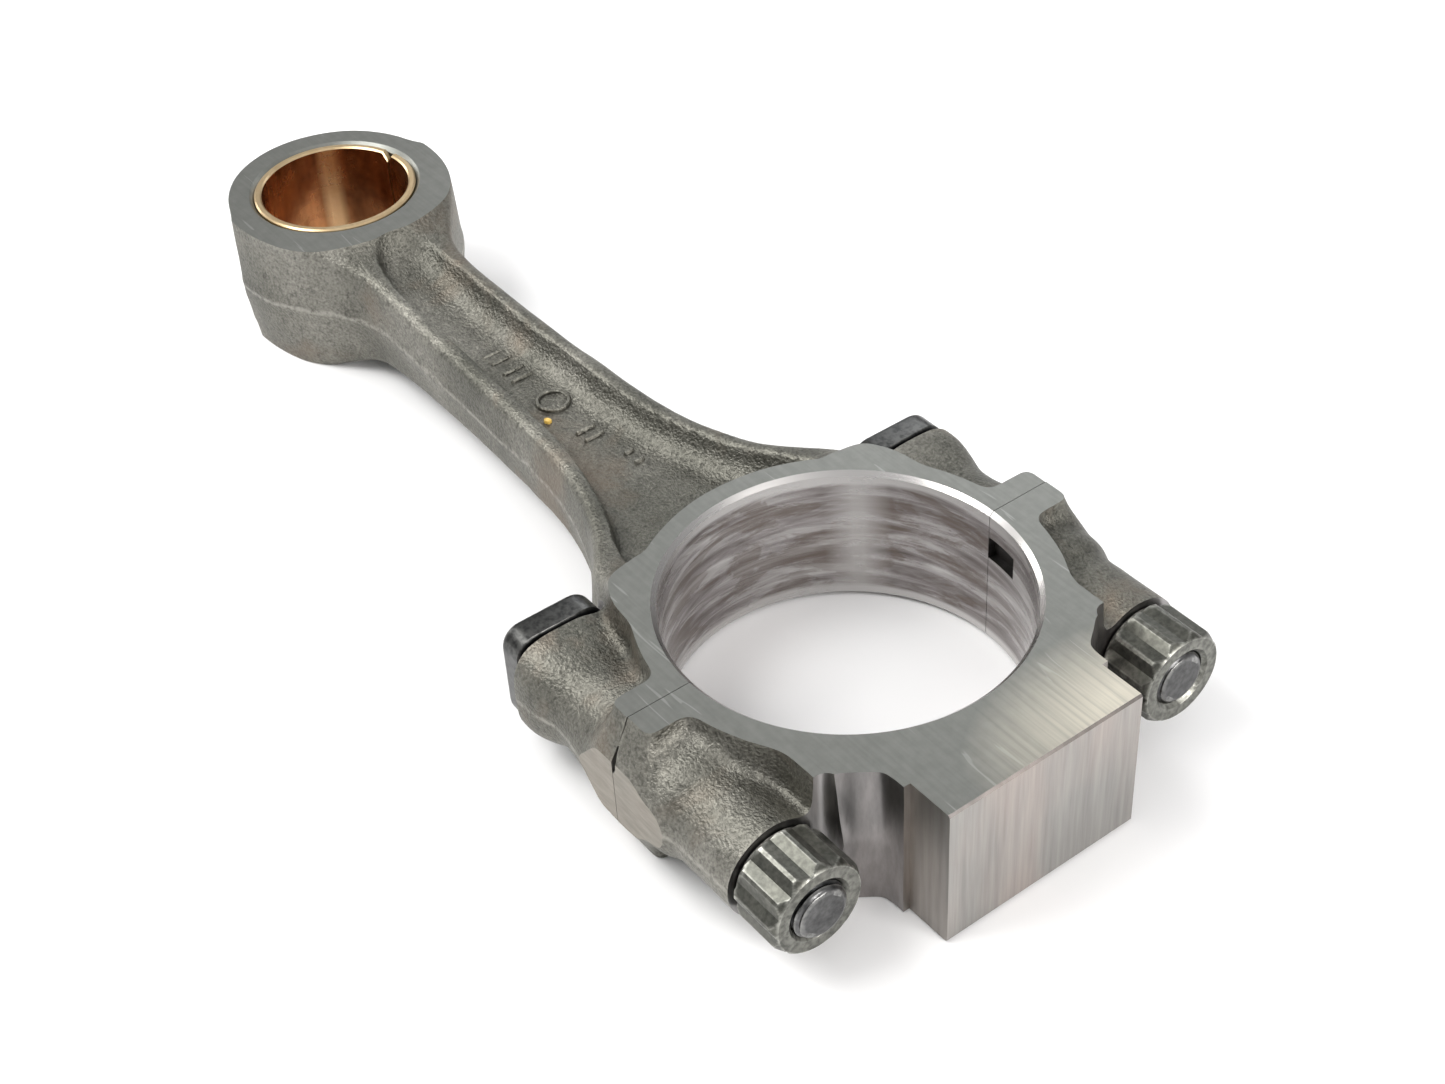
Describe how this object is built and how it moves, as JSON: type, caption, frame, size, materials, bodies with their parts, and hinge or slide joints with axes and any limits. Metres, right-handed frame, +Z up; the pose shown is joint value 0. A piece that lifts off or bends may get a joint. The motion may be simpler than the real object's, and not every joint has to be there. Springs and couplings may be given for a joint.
{
  "type": "connecting rod",
  "caption": "Forged I-beam connecting rod with a bolted big-end bearing cap, a bronze-bushed small end and a balance pad.",
  "frame": {"origin": "centre of the bounding box, on the plane of the lower machined side faces", "axes": "+X from the big end to the small end, +Z up and parallel to both bores, +Y across the two bolts; the rod lies flat"},
  "size_m": [0.257, 0.1056, 0.031],
  "materials": {
    "forged_steel": "shot-blasted forging, ground and bored where it is machined",
    "bush_bronze": "bored bronze",
    "bolt_black": "black oxide",
    "nut_phosphate": "phosphated, bright on the worn edges"
  },
  "bodies": {
    "rod": {"rod_forging": "forged_steel", "small_end_bush": "bush_bronze", "bolt_left": "bolt_black", "bolt_right": "bolt_black"},
    "cap": {"big_end_cap": "forged_steel"},
    "nut_left": {"nut_left": "nut_phosphate"},
    "nut_right": {"nut_right": "nut_phosphate"}
  },
  "joints": [
    {"name": "cap_slide", "type": "slide", "parent": "rod", "child": "cap", "axis": [-1, 0, 0], "range_m": [0, 0.01143]},
    {"name": "nut_left_turn", "type": "hinge", "parent": "cap", "child": "nut_left", "pos_m": [-0.11375, 0.0417, 0.0155], "axis": [-1, 0, 0], "range_deg": [0, 3240.1]},
    {"name": "nut_right_turn", "type": "hinge", "parent": "cap", "child": "nut_right", "pos_m": [-0.11375, -0.0417, 0.0155], "axis": [-1, 0, 0], "range_deg": [0, 3240.1]}
  ],
  "couplings": [
    {"joint": "nut_left_turn", "follows": "cap_slide", "rad_per_m": 4947.4},
    {"joint": "nut_right_turn", "follows": "cap_slide", "rad_per_m": 4947.4}
  ]
}
